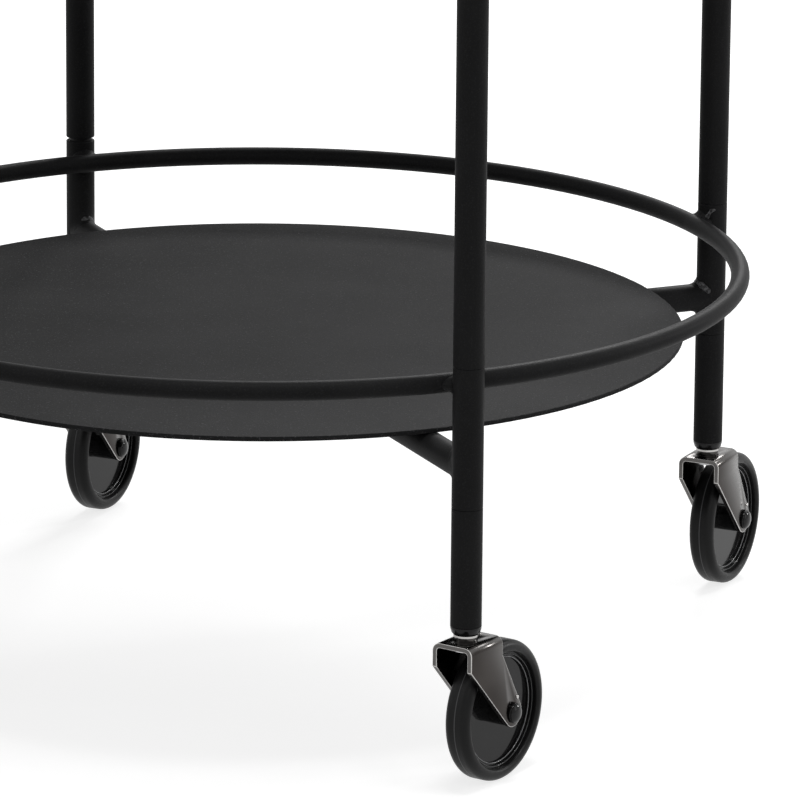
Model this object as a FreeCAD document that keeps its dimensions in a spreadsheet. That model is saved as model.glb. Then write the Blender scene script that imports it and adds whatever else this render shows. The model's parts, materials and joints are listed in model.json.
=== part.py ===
import FreeCAD
import Part
import math
import os
import re
import Sketcher

# A round serving trolley on four swivel casters, in millimetres.
# Two alike shelf units, each a ring, a cross brace, a disc tray and four short leg sleeves, are clamped
# between the leg tubes by tie rods. The floor is z = 0. The casters all trail one way, so the origin, in the
# middle of the ground that the trolley covers, lies beside the frame's upright axis.

SIZES = {
    # Where the frame's axis stands
    "axis_x": -17.0,
    "axis_y": -14.6,
    # Leg tubes, from the foot up
    "leg_diameter": 16.0,
    "leg_wall": 1.5,
    "leg_edge": 0.5,
    "lower_leg_length": 62.0,
    "sleeve_length": 73.5,
    "middle_leg_length": 380.0,
    "open_joint": 2.0,
    # Rings, braces and trays of the two shelf units
    "ring_radius": 255.0,
    "ring_rod": 10.0,
    "ring_seat": 0.5,
    "ring_drop": 11.0,
    "brace_diameter": 15.0,
    "brace_wall": 1.5,
    "brace_rise": 20.5,
    "weld_gap": 0.1,
    "tray_radius": 225.5,
    "tray_thickness": 2.5,
    "tray_edge": 0.5,
    "tray_weld_start": 120.0,
    "tray_weld_length": 30.0,
    "tray_weld_inner": 3.2,
    "tray_weld_width": 3.0,
    "tray_weld_depth": 2.2,
    # Plugs, spigots, tie rods and caps inside the legs
    "press_gap": 0.02,
    "plug_length": 20.0,
    "rod_diameter": 8.0,
    "rod_grip": 16.0,
    "thread_gap": 0.05,
    "thread_depth": 16.0,
    "thread_runout": 1.0,
    "spigot_diameter": 12.6,
    "spigot_reach": 20.0,
    "spigot_neck": 5.0,
    "spigot_grip": 25.0,
    "cap_height": 3.0,
    "cap_round": 1.2,
    # Caster swivels
    "flange_height": 4.3,
    "flange_rim": 1.0,
    "flange_belly": 14.7,
    "flange_belly_rise": 1.1,
    "flange_neck": 12.8,
    "socket_length": 32.0,
    "stem_diameter": 8.0,
    "stem_grip": 26.0,
    "stem_head_diameter": 14.0,
    "stem_head_height": 2.0,
    "swivel_play": 0.2,
    "swivel_gap": 0.05,
    "collar_height": 3.45,
    "collar_diameter": 12.4,
    "collar_lip": 0.5,
    "collar_groove": 1.9,
    "collar_groove_diameter": 11.4,
    # Caster forks, with the way each one trails from the X axis
    "fork_width": 23.8,
    "fork_sheet": 2.6,
    "fork_bend": 4.4,
    "fork_front": 12.4,
    "fork_rear": 16.4,
    "fork_front_side": 12.8,
    "fork_rear_side": 10.0,
    "fork_end_radius": 7.4,
    "axle_drop": 43.5,
    "trail": 27.0,
    "trail_angle_right": 41.0,
    "trail_angle_back": 41.5,
    "trail_angle_left": 38.0,
    "trail_angle_front": 32.0,
    # Wheels
    "wheel_diameter": 73.5,
    "wheel_width": 14.2,
    "tyre_depth": 6.3,
    "tyre_shoulder": 4.1,
    "tyre_lip": 1.9,
    "rim_inset": 3.2,
    "rim_width": 1.2,
    "rim_step": 1.2,
    "step_width": 1.5,
    "disc_recess": 2.2,
    "boss_diameter": 14.4,
    "boss_setback": 0.2,
    "bush_diameter": 9.0,
    "side_play": 0.3,
    "axle_diameter": 6.0,
    "axle_play": 0.05,
    "axle_head_diameter": 10.4,
    "axle_head_height": 2.2,
    "axle_head_round": 1.4,
    "axle_dimple_diameter": 4.4,
    "axle_dimple_depth": 1.0,
}

# Places that follow from the sizes above
PLACES = {
    "leg_circle": "ring_radius + (ring_rod + leg_diameter) / 2 - ring_seat",
    "leg_bore_radius": "leg_diameter / 2 - leg_wall",
    "plug_radius": "leg_bore_radius - press_gap",
    "thread_radius": "rod_diameter / 2 + thread_gap",
    "axle_height": "wheel_diameter / 2",
    "fork_top": "axle_height + axle_drop",
    "fork_half": "fork_width / 2",
    "fork_inner_half": "fork_half - fork_sheet",
    "plate_bottom": "fork_top - fork_sheet",
    "collar_top": "fork_top + collar_height",
    "leg_foot": "collar_top + flange_height",
    "lower_sleeve_foot": "leg_foot + lower_leg_length",
    "lower_sleeve_top": "lower_sleeve_foot + sleeve_length",
    "upper_sleeve_foot": "lower_sleeve_top + middle_leg_length",
    "upper_sleeve_top": "upper_sleeve_foot + sleeve_length",
    "tyre_seat_radius": "wheel_diameter / 2 - tyre_depth",
    "rim_half": "wheel_width / 2 - rim_inset",
    "step_radius": "tyre_seat_radius - press_gap - rim_width",
    "disc_radius": "step_radius - step_width",
    "bush_half": "fork_inner_half - side_play",
}

# Each leg's name with its direction from the frame's axis
LEGS = {"right": (1, 0), "back": (0, 1), "left": (-1, 0), "front": (0, -1)}
SHELVES = ("lower", "upper")
QUARTER_TURN = 90
CUT_MARGIN = 4

doc = FreeCAD.newDocument("serving_trolley")
sheet = doc.addObject("Spreadsheet::Sheet", "Sizes")
for row, (size_name, size) in enumerate(SIZES.items(), start=1):
    sheet.set(f"A{row}", size_name)
    sheet.set(f"B{row}", str(size))
    sheet.setAlias(f"B{row}", size_name)
doc.recompute()
nodes = []


def formula(text):
    """Writes a rule in size and place names as an expression on the sheet's cells."""
    def spell_out(match):
        word = match[0]
        if word in PLACES:
            return "(" + formula(PLACES[word]) + ")"
        return "Sizes." + word if word in SIZES else word
    return re.sub(r"[a-z_]+", spell_out, text)


def value(text):
    return float(sheet.evalExpression(formula(text)))


def bind(thing, path, text):
    thing.setExpression(path, formula(text))


def place_rotated(thing, rotation, x, y, z):
    """Puts a piece at a point, measured from the foot of the frame's axis."""
    thing.Placement = FreeCAD.Placement(FreeCAD.Vector(), rotation)
    bind(thing, "Placement.Base.x", f"axis_x + {x}")
    bind(thing, "Placement.Base.y", f"axis_y + {y}")
    bind(thing, "Placement.Base.z", z)


def place(thing, x="0", y="0", z="0", turn="0"):
    """Puts a piece at a point, turned about the vertical."""
    place_rotated(thing, FreeCAD.Rotation(FreeCAD.Vector(0, 0, 1), value(turn)), x, y, z)
    bind(thing, "Placement.Rotation.Angle", turn)


def place_at_leg(thing, leg, z, turn):
    along_x, along_y = LEGS[leg]
    place(thing, f"{along_x} * leg_circle", f"{along_y} * leg_circle", z, turn)


def outward_turn(leg):
    """The turn that points a piece's own X away from the frame's axis."""
    return str(list(LEGS).index(leg) * QUARTER_TURN)


def new_node(kind, name):
    node = doc.addObject(kind, name)
    node.Label = name
    nodes.append(node)
    return node


def new_sketch(body, role, lift="0"):
    sketch = body.newObject("Sketcher::SketchObject", "Sketch")
    plane = next(item for item in body.Origin.OriginFeatures if item.Role == role)
    sketch.AttachmentSupport = (plane, [""])
    sketch.MapMode = "FlatFace"
    bind(sketch, "AttachmentOffset.Base.z", lift)
    return sketch


def pin_point(sketch, item, end, x, y):
    """Fixes one point of a sketch by its distances from the sketch's origin."""
    for kind, text in (("DistanceX", x), ("DistanceY", y)):
        index = sketch.addConstraint(Sketcher.Constraint(kind, -1, 1, item, end, value(text)))
        bind(sketch, f"Constraints[{index}]", text)


def draw_line(sketch, start, end, is_axis=False):
    spots = [FreeCAD.Vector(value(x), value(y), 0) for x, y in (start, end)]
    return sketch.addGeometry(Part.LineSegment(*spots), is_axis)


def draw_axis(sketch, x):
    line = draw_line(sketch, (x, "0"), (x, "1"), is_axis=True)
    pin_point(sketch, line, 1, x, "0")
    pin_point(sketch, line, 2, x, "1")


def draw_outline(sketch, points):
    """Draws a closed outline of straight lines through the points."""
    lines = [draw_line(sketch, points[i], points[(i + 1) % len(points)]) for i in range(len(points))]
    for index, (x, y) in enumerate(points):
        sketch.addConstraint(Sketcher.Constraint("Coincident", lines[index - 1], 2, lines[index], 1))
        pin_point(sketch, lines[index], 1, x, y)


def draw_circle(sketch, x, y, radius):
    spot = FreeCAD.Vector(value(x), value(y), 0)
    circle = sketch.addGeometry(Part.Circle(spot, FreeCAD.Vector(0, 0, 1), value(radius)))
    pin_point(sketch, circle, 3, x, y)
    index = sketch.addConstraint(Sketcher.Constraint("Radius", circle, value(radius)))
    bind(sketch, f"Constraints[{index}]", radius)


def pad(body, sketch, length, side="One side"):
    feature = body.newObject("PartDesign::Pad", "Pad")
    feature.Profile = sketch
    feature.SideType = side
    bind(feature, "Length", length)
    return feature


def pocket_through(body, sketch):
    """Cuts a sketch right through on both sides of its plane, and makes sure that it took something off."""
    doc.recompute()
    before = body.Shape.Volume
    feature = body.newObject("PartDesign::Pocket", "Pocket")
    feature.Profile = sketch
    feature.SideType = "Symmetric"
    feature.Type = "ThroughAll"
    doc.recompute()
    if body.Shape.Volume >= before:
        raise RuntimeError(f"a cut in {body.Label} took nothing off")
    return feature


def round_edges(body, base, radius, is_wanted):
    doc.recompute()
    wanted = [f"Edge{i}" for i, edge in enumerate(base.Shape.Edges, start=1) if is_wanted(edge)]
    feature = body.newObject("PartDesign::Fillet", "Rounding")
    feature.Base = (base, wanted)
    bind(feature, "Radius", radius)
    return feature


def is_circle_over(edge, radius):
    return isinstance(edge.Curve, Part.Circle) and edge.Curve.Radius > radius


def turned_piece(name, points, role, axis, lift="0"):
    """Turns an outline of radii and heights about an upright line of its plane."""
    body = new_node("PartDesign::Body", name)
    sketch = new_sketch(body, role, lift)
    draw_axis(sketch, axis)
    draw_outline(sketch, [(f"{axis} + {radius}", height) for radius, height in points])
    feature = body.newObject("PartDesign::Revolution", "Revolution")
    feature.Profile = sketch
    feature.ReferenceAxis = (sketch, ["Axis0"])
    feature.Angle = 360
    return body, sketch, feature


def one_per_leg(name, points):
    """Makes a turned piece in the right leg and repeats it in the other legs."""
    body, sketch, feature = turned_piece(name, points, "XZ_Plane", "leg_circle")
    pattern = body.newObject("PartDesign::PolarPattern", "Pattern")
    pattern.Originals = [feature]
    pattern.Axis = (sketch, ["V_Axis"])
    pattern.Angle = 360
    pattern.Occurrences = len(LEGS)
    body.Tip = pattern
    place(body)


def leg_tube(name, length):
    body = new_node("PartDesign::Body", name)
    section = new_sketch(body, "XY_Plane")
    draw_circle(section, "0", "0", "leg_diameter / 2")
    draw_circle(section, "0", "0", "leg_bore_radius")
    tube = pad(body, section, length)
    middle_of_wall = value("(leg_diameter - leg_wall) / 2")
    round_edges(body, tube, "leg_edge", lambda edge: is_circle_over(edge, middle_of_wall))
    return body


def seat_ring(body):
    """Hollows the shallow seat in a sleeve where the ring is welded on."""
    doc.recompute()
    before = body.Shape.Volume
    sketch = new_sketch(body, "XZ_Plane")
    draw_axis(sketch, "-leg_circle")
    draw_circle(sketch, "ring_radius - leg_circle", "sleeve_length - ring_drop", "ring_rod / 2")
    groove = body.newObject("PartDesign::Groove", "Ring_seat")
    groove.Profile = sketch
    groove.ReferenceAxis = (sketch, ["Axis0"])
    groove.Angle = 360
    doc.recompute()
    if body.Shape.Volume >= before:
        raise RuntimeError(f"the ring seat in {body.Label} took nothing off")


def make_legs():
    for leg in LEGS:
        turn = outward_turn(leg)
        place_at_leg(leg_tube(f"lower_leg_{leg}", "lower_leg_length"), leg, "leg_foot", turn)
        # The back leg's joint stands a little open above the lower shelf, so its tube is shorter there
        gap = "open_joint" if leg == "back" else "0"
        middle = leg_tube(f"middle_leg_{leg}", f"middle_leg_length - {gap}")
        place_at_leg(middle, leg, f"lower_sleeve_top + {gap}", turn)
        for shelf in SHELVES:
            sleeve = leg_tube(f"{shelf}_sleeve_{leg}", "sleeve_length")
            seat_ring(sleeve)
            place_at_leg(sleeve, leg, f"{shelf}_sleeve_foot", turn)


def brace_tube(name, shelf, role, ends):
    """Makes a brace tube across the frame, with its ends shaped to the sleeves."""
    body = new_node("PartDesign::Body", name)
    section = new_sketch(body, role)
    draw_circle(section, "0", "0", "brace_diameter / 2")
    draw_circle(section, "0", "0", "brace_diameter / 2 - brace_wall")
    pad(body, section, "2 * leg_circle", side="Symmetric")
    cope = new_sketch(body, "XY_Plane")
    for along_x, along_y in ends:
        draw_circle(cope, f"{along_x} * leg_circle", f"{along_y} * leg_circle", "leg_diameter / 2 + weld_gap")
    pocket_through(body, cope)
    place(body, z=f"{shelf}_sleeve_foot + brace_rise")
    return body


def make_tray(shelf):
    body = new_node("PartDesign::Body", f"{shelf}_tray")
    disc = new_sketch(body, "XY_Plane")
    draw_circle(disc, "0", "0", "tray_radius")
    round_edges(body, pad(body, disc, "tray_thickness"), "tray_edge", lambda edge: is_circle_over(edge, 0))
    place(body, z=f"{shelf}_sleeve_foot + brace_rise + brace_diameter / 2")


def make_tray_welds(shelf):
    """Makes two short fillet welds on each arm of the brace, filling the corner under the tray."""
    brace_height = f"{shelf}_sleeve_foot + brace_rise"
    blanks = []
    for leg, (along_x, along_y) in LEGS.items():
        for near_side in ("tray_weld_inner", "(-tray_weld_inner - tray_weld_width)"):
            block = doc.addObject("Part::Box", "Weld_block")
            bind(block, "Length", "tray_weld_length")
            bind(block, "Width", "tray_weld_width")
            bind(block, "Height", "tray_weld_depth")
            place(
                block,
                f"{along_x} * tray_weld_start - {along_y} * {near_side}",
                f"{along_y} * tray_weld_start + {along_x} * {near_side}",
                f"{brace_height} + brace_diameter / 2 - tray_weld_depth",
                outward_turn(leg),
            )
            blanks.append(block)
    tubes = []
    for lying_axis in (FreeCAD.Vector(0, 1, 0), FreeCAD.Vector(-1, 0, 0)):
        tube = doc.addObject("Part::Cylinder", "Weld_tube")
        bind(tube, "Radius", "brace_diameter / 2")
        bind(tube, "Height", "2 * leg_circle")
        lying = FreeCAD.Rotation(FreeCAD.Vector(0, 0, 1), lying_axis)
        start_x, start_y = (f"{-part} * leg_circle" for part in (lying_axis.x, lying_axis.y))
        place_rotated(tube, lying, start_x, start_y, brace_height)
        tubes.append(tube)
    group = doc.addObject("Part::Compound", "Weld_blocks")
    group.Links = blanks
    cross = doc.addObject("Part::MultiFuse", "Weld_cross")
    cross.Shapes = tubes
    welds = new_node("Part::Cut", f"{shelf}_tray_welds")
    welds.Base = group
    welds.Tool = cross


def make_shelf(shelf):
    ring = new_node("Part::Torus", f"{shelf}_ring")
    bind(ring, "Radius1", "ring_radius")
    bind(ring, "Radius2", "ring_rod / 2")
    place(ring, z=f"{shelf}_sleeve_top - ring_drop")
    brace_tube(f"{shelf}_brace", shelf, "XZ_Plane", [LEGS["front"], LEGS["back"]])
    arms = brace_tube(f"{shelf}_brace_arms", shelf, "YZ_Plane", [LEGS["right"], LEGS["left"]])
    crossing = new_sketch(arms, "XZ_Plane")
    draw_circle(crossing, "0", "0", "brace_diameter / 2 + weld_gap")
    pocket_through(arms, crossing)
    make_tray(shelf)
    make_tray_welds(shelf)


def make_leg_plugs(name, top):
    """Threaded plugs pressed into the leg tubes, level with their upper ends."""
    one_per_leg(name, [
        ("thread_radius", f"{top} - plug_length"),
        ("plug_radius", f"{top} - plug_length"),
        ("plug_radius", top),
        ("thread_radius", top),
    ])


def make_tie_rods(name, foot, top):
    one_per_leg(name, [
        ("0", foot),
        ("rod_diameter / 2", foot),
        ("rod_diameter / 2", top),
        ("0", top),
    ])


def make_leg_fittings():
    """Plugs, tie rods and spigots that clamp the sleeves between the tubes, and the caps on top."""
    make_leg_plugs("lower_leg_plugs", "lower_sleeve_foot")
    make_leg_plugs("middle_leg_plugs", "upper_sleeve_foot")
    spigot_end = "lower_sleeve_top - spigot_reach"
    one_per_leg("middle_leg_spigots", [
        ("thread_radius", spigot_end),
        ("spigot_diameter / 2", spigot_end),
        ("spigot_diameter / 2", "lower_sleeve_top + spigot_neck"),
        ("plug_radius", "lower_sleeve_top + spigot_neck"),
        ("plug_radius", "lower_sleeve_top + spigot_grip"),
        ("0", "lower_sleeve_top + spigot_grip"),
        ("0", f"{spigot_end} + thread_depth"),
        ("thread_radius", f"{spigot_end} + thread_depth"),
    ])
    cap_end = "upper_sleeve_top - spigot_reach"
    cap_top = "upper_sleeve_top + cap_height"
    one_per_leg("leg_caps", [
        ("thread_radius", cap_end),
        ("spigot_diameter / 2", cap_end),
        ("spigot_diameter / 2", "upper_sleeve_top"),
        ("leg_diameter / 2", "upper_sleeve_top"),
        ("leg_diameter / 2", f"{cap_top} - cap_round"),
        ("leg_diameter / 2 - cap_round", cap_top),
        ("0", cap_top),
        ("0", f"{cap_end} + thread_depth"),
        ("thread_radius", f"{cap_end} + thread_depth"),
    ])
    for shelf, end in (("lower", spigot_end), ("upper", cap_end)):
        rod_top = f"{end} + thread_depth - thread_runout"
        make_tie_rods(f"{shelf}_tie_rods", f"{shelf}_sleeve_foot - rod_grip", rod_top)


def make_swivels():
    """Sockets in the leg feet, with the stems and collars that carry the forks."""
    stem_hole = "stem_diameter / 2 + press_gap"
    one_per_leg("caster_sockets", [
        (stem_hole, "collar_top"),
        ("flange_neck / 2", "collar_top"),
        ("flange_belly / 2", "collar_top + flange_belly_rise"),
        ("leg_diameter / 2", "leg_foot - flange_rim"),
        ("leg_diameter / 2", "leg_foot"),
        ("plug_radius", "leg_foot"),
        ("plug_radius", "leg_foot + socket_length"),
        ("0", "leg_foot + socket_length"),
        ("0", "leg_foot + stem_grip"),
        (stem_hole, "leg_foot + stem_grip"),
    ])
    head_top = "plate_bottom - swivel_play"
    one_per_leg("caster_stems", [
        ("0", f"{head_top} - stem_head_height"),
        ("stem_head_diameter / 2", f"{head_top} - stem_head_height"),
        ("stem_head_diameter / 2", head_top),
        ("stem_diameter / 2", head_top),
        ("stem_diameter / 2", "leg_foot + stem_grip"),
        ("0", "leg_foot + stem_grip"),
    ])
    groove_foot = "fork_top + collar_lip"
    groove_top = f"{groove_foot} + collar_groove"
    one_per_leg("swivel_collars", [
        (stem_hole, "fork_top"),
        ("collar_diameter / 2", "fork_top"),
        ("collar_diameter / 2", groove_foot),
        ("collar_groove_diameter / 2", groove_foot),
        ("collar_groove_diameter / 2", groove_top),
        ("flange_neck / 2", groove_top),
        ("flange_neck / 2", "collar_top"),
        (stem_hole, "collar_top"),
    ])


def draw_fork_side(sketch):
    """Draws what is cut away round the fork's side: a frame with the side's own outline left standing."""
    low = f"axle_height - fork_end_radius - {CUT_MARGIN}"
    high = f"fork_top + {CUT_MARGIN}"
    far_front = f"-fork_front - {CUT_MARGIN}"
    far_rear = f"trail + fork_end_radius + {CUT_MARGIN}"
    draw_outline(sketch, [(far_front, low), (far_rear, low), (far_rear, high), (far_front, high)])
    over_top = f"fork_top + {CUT_MARGIN / 2}"
    before_front = f"-fork_front - {CUT_MARGIN / 2}"
    front_corner = "fork_top - fork_front_side"
    rear_corner = "fork_top - fork_rear_side"
    middle = FreeCAD.Vector(value("trail"), value("axle_height"), 0)
    radius = value("fork_end_radius")

    def touch_angle(x, y, side):
        """The angle on the round end at which a line from an outer point touches it."""
        reach = FreeCAD.Vector(value(x), value(y), 0) - middle
        return math.atan2(reach.y, reach.x) + side * math.acos(radius / reach.Length)

    first_angle = touch_angle("-fork_front", front_corner, 1)
    last_angle = touch_angle("fork_rear", rear_corner, -1)
    circle = Part.Circle(middle, FreeCAD.Vector(0, 0, 1), radius)
    end = sketch.addGeometry(Part.ArcOfCircle(circle, first_angle, last_angle + 2 * math.pi))
    pin_point(sketch, end, 3, "trail", "axle_height")
    index = sketch.addConstraint(Sketcher.Constraint("Radius", end, radius))
    bind(sketch, f"Constraints[{index}]", "fork_end_radius")
    corners = [
        ("fork_rear", rear_corner),
        ("fork_rear", over_top),
        (before_front, over_top),
        (before_front, front_corner),
        ("-fork_front", front_corner),
    ]
    lines = [draw_line(sketch, start, finish) for start, finish in zip(corners, corners[1:])]
    for index, line in enumerate(lines):
        pin_point(sketch, line, 1, *corners[index])
        if index:
            sketch.addConstraint(Sketcher.Constraint("Coincident", lines[index - 1], 2, line, 1))
    pin_point(sketch, lines[-1], 2, *corners[-1])
    # Both slanting edges run from a corner to the round end and touch it there
    for neighbour, neighbour_end, corner, arc_end in (
        (lines[0], 1, corners[0], 2),
        (lines[-1], 2, corners[-1], 1),
    ):
        angle = last_angle if arc_end == 2 else first_angle
        touch = middle + FreeCAD.Vector(math.cos(angle), math.sin(angle), 0) * radius
        start = FreeCAD.Vector(value(corner[0]), value(corner[1]), 0)
        slant = sketch.addGeometry(Part.LineSegment(start, touch))
        sketch.addConstraint(Sketcher.Constraint("Coincident", neighbour, neighbour_end, slant, 1))
        sketch.addConstraint(Sketcher.Constraint("Tangent", slant, 2, end, arc_end))


def make_fork(leg):
    """A bent sheet fork: two sides and a top plate, with holes for the stem and the axle."""
    body = new_node("PartDesign::Body", f"caster_fork_{leg}")
    section = new_sketch(body, "YZ_Plane", lift="-fork_front")
    foot = "axle_height - fork_end_radius"
    draw_outline(section, [
        ("-fork_half", foot),
        ("-fork_half", "fork_top"),
        ("fork_half", "fork_top"),
        ("fork_half", foot),
        ("fork_inner_half", foot),
        ("fork_inner_half", "plate_bottom"),
        ("-fork_inner_half", "plate_bottom"),
        ("-fork_inner_half", foot),
    ])
    channel = pad(body, section, "fork_front + trail + fork_end_radius")

    def bend_at(height):
        def is_bend(edge):
            ends = [vertex.Point for vertex in edge.Vertexes]
            runs_along = abs(ends[0].x - ends[-1].x) > value("fork_front")
            return runs_along and all(math.isclose(end.z, value(height), abs_tol=1e-6) for end in ends)
        return is_bend

    outer = round_edges(body, channel, "fork_bend", bend_at("fork_top"))
    round_edges(body, outer, "fork_bend - fork_sheet", bend_at("plate_bottom"))
    side = new_sketch(body, "XZ_Plane")
    draw_fork_side(side)
    pocket_through(body, side)
    stem_hole = new_sketch(body, "XY_Plane")
    draw_circle(stem_hole, "0", "0", "stem_diameter / 2 + swivel_gap")
    pocket_through(body, stem_hole)
    axle_hole = new_sketch(body, "XZ_Plane")
    draw_circle(axle_hole, "trail", "axle_height", "axle_diameter / 2 + press_gap")
    pocket_through(body, axle_hole)
    return body


def wheel_piece(name, points):
    """Turns a piece of the wheel about the axle."""
    body, _, feature = turned_piece(name, points, "XY_Plane", "trail", lift="axle_height")
    return body, feature


def mirrored(points):
    """Adds the mirror image of half an outline on the other side of the wheel."""
    return points + [(radius, f"-({side})") for radius, side in reversed(points)]


def make_axle(leg):
    """The rivet that the wheel turns on, with a round-edged head outside each side of the fork."""
    head_end = "fork_half + axle_head_height"
    axle, turned = wheel_piece(f"wheel_axle_{leg}", mirrored([
        ("0", f"{head_end} - axle_dimple_depth"),
        ("axle_dimple_diameter / 2", head_end),
        ("axle_head_diameter / 2", head_end),
        ("axle_head_diameter / 2", "fork_half"),
        ("axle_diameter / 2", "fork_half"),
    ]))

    def is_head_edge(edge):
        is_rim = is_circle_over(edge, value("axle_diameter / 2"))
        return is_rim and abs(edge.Curve.Center.y) > value("fork_half + axle_head_height / 2")

    round_edges(axle, turned, "axle_head_round", is_head_edge)
    return axle


def make_wheel(leg):
    hub_bore = "bush_diameter / 2 + press_gap"
    step_half = "rim_half - rim_step"
    disc_half = "rim_half - disc_recess"
    hub, _ = wheel_piece(f"wheel_hub_{leg}", mirrored([
        (hub_bore, "bush_half - boss_setback"),
        ("boss_diameter / 2", "bush_half - boss_setback"),
        ("boss_diameter / 2", disc_half),
        ("disc_radius", disc_half),
        ("disc_radius", step_half),
        ("step_radius", step_half),
        ("step_radius", "rim_half"),
        ("tyre_seat_radius - press_gap", "rim_half"),
    ]))
    tyre, ring = wheel_piece(f"wheel_tyre_{leg}", mirrored([
        ("tyre_seat_radius", "wheel_width / 2"),
        ("wheel_diameter / 2", "wheel_width / 2"),
    ]))
    tread_edge = value("wheel_diameter / 2 - tyre_depth / 2")

    def is_inner_edge(edge):
        return is_circle_over(edge, value("disc_radius")) and not is_circle_over(edge, tread_edge)

    lipped = round_edges(tyre, ring, "tyre_lip", is_inner_edge)
    round_edges(tyre, lipped, "tyre_shoulder", lambda edge: is_circle_over(edge, tread_edge))
    bush, _ = wheel_piece(f"wheel_bush_{leg}", mirrored([
        ("axle_diameter / 2 + axle_play", "bush_half"),
        ("bush_diameter / 2", "bush_half"),
    ]))
    return hub, tyre, bush


def make_caster(leg):
    for piece in (make_fork(leg), make_axle(leg), *make_wheel(leg)):
        place_at_leg(piece, leg, "0", f"trail_angle_{leg}")


def write_parts():
    doc.recompute()
    for thing in doc.Objects:
        if "Invalid" in thing.State or "Error" in thing.State:
            raise RuntimeError(f"{thing.Label} is {thing.State}")
    for node in nodes:
        if node.Shape.isNull() or not node.Shape.isValid() or not node.Shape.Solids:
            raise RuntimeError(f"{node.Label} has no valid solid")
    os.makedirs("parts", exist_ok=True)
    for node in nodes:
        node.Shape.exportStep(f"parts/{node.Label}.step")
        print(node.Label, len(node.Shape.Solids), round(node.Shape.Volume, 1))


make_legs()
for shelf_name in SHELVES:
    make_shelf(shelf_name)
make_leg_fittings()
make_swivels()
for leg_name in LEGS:
    make_caster(leg_name)
write_parts()
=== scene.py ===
# %% [markdown]
# # A round serving trolley, dressed step by step
#
# The trolley's tubes, rings, trays and casters come from the CAD model, which is loaded as a fixed frame.
# This lesson sets up a camera and a studio, gives every piece a finish, and models what the CAD model leaves
# out: the weld beads on the frame, the rounded edges of the caster forks, their small press marks, the fine
# lips of the hubs and the low domes of the rivets.

# %% Load the frame
import json
import math

import bpy
from mathutils import Matrix, Vector


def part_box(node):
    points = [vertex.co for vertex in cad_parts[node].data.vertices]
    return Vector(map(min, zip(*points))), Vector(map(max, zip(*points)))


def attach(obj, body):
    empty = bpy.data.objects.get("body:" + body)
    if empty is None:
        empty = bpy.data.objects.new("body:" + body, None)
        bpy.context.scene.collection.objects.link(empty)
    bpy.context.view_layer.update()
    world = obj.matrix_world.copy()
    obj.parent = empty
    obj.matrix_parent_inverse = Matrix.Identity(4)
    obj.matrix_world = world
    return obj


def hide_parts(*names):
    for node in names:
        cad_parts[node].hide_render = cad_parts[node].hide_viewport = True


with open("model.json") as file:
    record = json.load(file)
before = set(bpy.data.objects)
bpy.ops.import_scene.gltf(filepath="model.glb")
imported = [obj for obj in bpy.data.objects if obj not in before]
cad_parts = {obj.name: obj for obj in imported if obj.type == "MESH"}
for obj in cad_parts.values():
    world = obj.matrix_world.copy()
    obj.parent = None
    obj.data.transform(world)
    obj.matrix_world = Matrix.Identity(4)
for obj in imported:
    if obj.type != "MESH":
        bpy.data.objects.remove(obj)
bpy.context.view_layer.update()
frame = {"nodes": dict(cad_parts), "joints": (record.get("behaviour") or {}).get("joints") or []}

nodes = frame["nodes"]
LEGS = ("right", "back", "left", "front")
SHELVES = ("lower", "upper")
MM = 0.001

# %% [markdown]
# ## The camera
#
# The photograph was taken with a long lens from a little above the lower shelf. A camera can be placed by
# eye, but here it is placed by numbers: the direction it looks from, its distance, and how far its aim lies
# beside the middle of the lower ring. The slight roll makes the legs lean as they do in the photograph.

# %% Place the camera
ring_low, ring_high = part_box("lower_ring")
ring_centre = (ring_low + ring_high) / 2
VIEW_AZIMUTH = math.radians(-23.9)
VIEW_ELEVATION = math.radians(15.27)
VIEW_ROLL = math.radians(0.5)
VIEW_DISTANCE = 3.766
LENS = 317.4
AIM_RIGHT = 0.0741
AIM_UP = -0.0710
SIGHT_LIMIT = 50

flat_reach = math.cos(VIEW_ELEVATION)
towards_camera = Vector((
    math.sin(VIEW_AZIMUTH) * flat_reach, -math.cos(VIEW_AZIMUTH) * flat_reach, math.sin(VIEW_ELEVATION),
))
level_right = Vector((math.cos(VIEW_AZIMUTH), math.sin(VIEW_AZIMUTH), 0))
level_up = towards_camera.cross(level_right)
aim = ring_centre + level_right * AIM_RIGHT + level_up * AIM_UP
camera_right = level_right * math.cos(VIEW_ROLL) + level_up * math.sin(VIEW_ROLL)
camera_up = towards_camera.cross(camera_right)
camera_turn = Matrix((camera_right, camera_up, towards_camera)).transposed().to_euler()

bpy.ops.object.select_all(action="DESELECT")
bpy.ops.object.camera_add(location=aim + towards_camera * VIEW_DISTANCE, rotation=camera_turn)
camera = bpy.context.object
camera.name = "photo_camera"
camera.data.lens = LENS
camera.data.clip_end = SIGHT_LIMIT
bpy.context.scene.camera = camera
print("Camera at", [round(part, 3) for part in camera.location])

# %% [markdown]
# ## The studio
#
# The object stands on a plain white floor in front of white. A white world could light it alone, but black
# paint needs lamps of its own to show its shape: large soft boxes draw the long highlights on the tubes, and
# a small one puts a glint on the rivets. The world and the floor look white to the camera and in
# reflections, and give less light to everything else.

# %% Light path: which rays see the white background
WORLD_LIGHT = 0.2
FLOOR_GLOW = 0.78


def seen_as_background(tree):
    """Gives a socket that is 1 on camera, glossy and transmission rays, and 0 on all others."""
    path = tree.nodes.new("ShaderNodeLightPath")
    camera_or_glossy = tree.nodes.new("ShaderNodeMath")
    camera_or_glossy.operation = "MAXIMUM"
    any_view = tree.nodes.new("ShaderNodeMath")
    any_view.operation = "MAXIMUM"
    tree.links.new(path.outputs["Is Camera Ray"], camera_or_glossy.inputs[0])
    tree.links.new(path.outputs["Is Glossy Ray"], camera_or_glossy.inputs[1])
    tree.links.new(camera_or_glossy.outputs[0], any_view.inputs[0])
    tree.links.new(path.outputs["Is Transmission Ray"], any_view.inputs[1])
    return any_view.outputs[0]


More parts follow.
